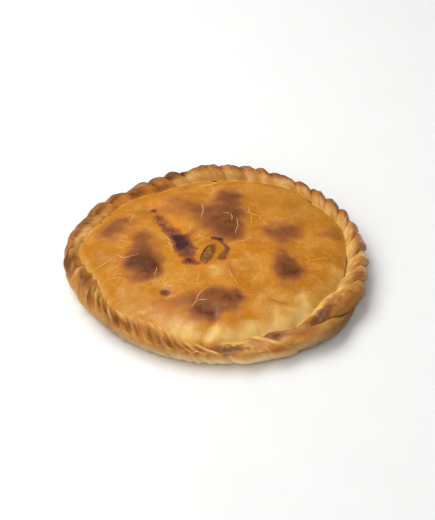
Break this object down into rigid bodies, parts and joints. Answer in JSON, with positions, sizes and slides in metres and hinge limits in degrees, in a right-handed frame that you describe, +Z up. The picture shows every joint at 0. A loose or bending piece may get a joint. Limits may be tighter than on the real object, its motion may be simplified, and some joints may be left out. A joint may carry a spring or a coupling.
{
  "type": "round empanada",
  "caption": "Whole round baked pie with a low domed lid, a rope-crimped rim and a small steam vent that shows the filling; it rests on its flat base.",
  "frame": {"origin": "centre of the flat base, at the surface that the pie rests on", "axes": "+Z up through the lid, -Y towards the front of the pie as it was seen, +X to the right"},
  "size_m": [0.3012, 0.3032, 0.0373],
  "materials": {
    "baked_crust": "egg-glazed golden crust with brown blisters, satin",
    "cooked_filling": "moist olive-brown cooked filling"
  },
  "bodies": {
    "root": {"crust": "baked_crust", "vent_filling": "cooked_filling"}
  },
  "joints": []
}
